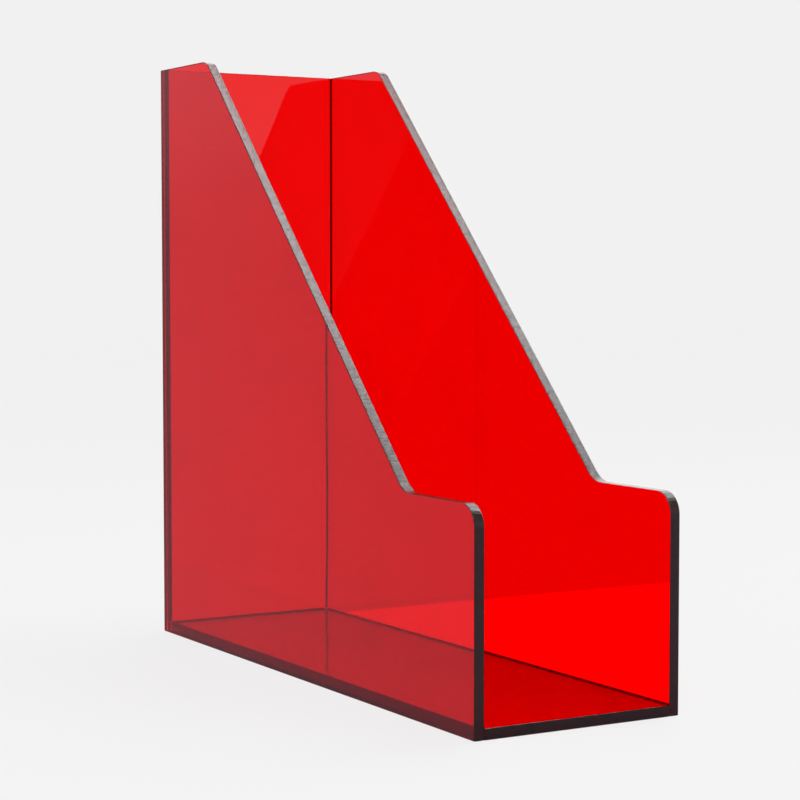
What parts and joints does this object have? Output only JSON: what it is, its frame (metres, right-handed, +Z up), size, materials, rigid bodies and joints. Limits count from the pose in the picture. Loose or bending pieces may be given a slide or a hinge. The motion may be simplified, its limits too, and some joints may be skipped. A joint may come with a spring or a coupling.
{
  "type": "magazine rack",
  "caption": "Upright open-front magazine rack of flat transparent red acrylic panels, with sloped sides, rounded corners and cemented butt joints.",
  "frame": {"origin": "on the surface the rack stands on, at the middle of its footprint", "axes": "+Z up; the open front faces -Y and the back panel is at +Y; +X is to the right as seen from the front"},
  "size_m": [0.105, 0.315, 0.3],
  "materials": {
    "red_acrylic": "polished",
    "acrylic_cement": "satin"
  },
  "bodies": {
    "root": {"left_side_panel": "red_acrylic", "right_side_panel": "red_acrylic", "base_panel": "red_acrylic", "back_panel": "red_acrylic", "cement_base_left": "acrylic_cement", "cement_base_right": "acrylic_cement", "cement_base_back": "acrylic_cement", "cement_back_left": "acrylic_cement", "cement_back_right": "acrylic_cement"}
  },
  "joints": []
}
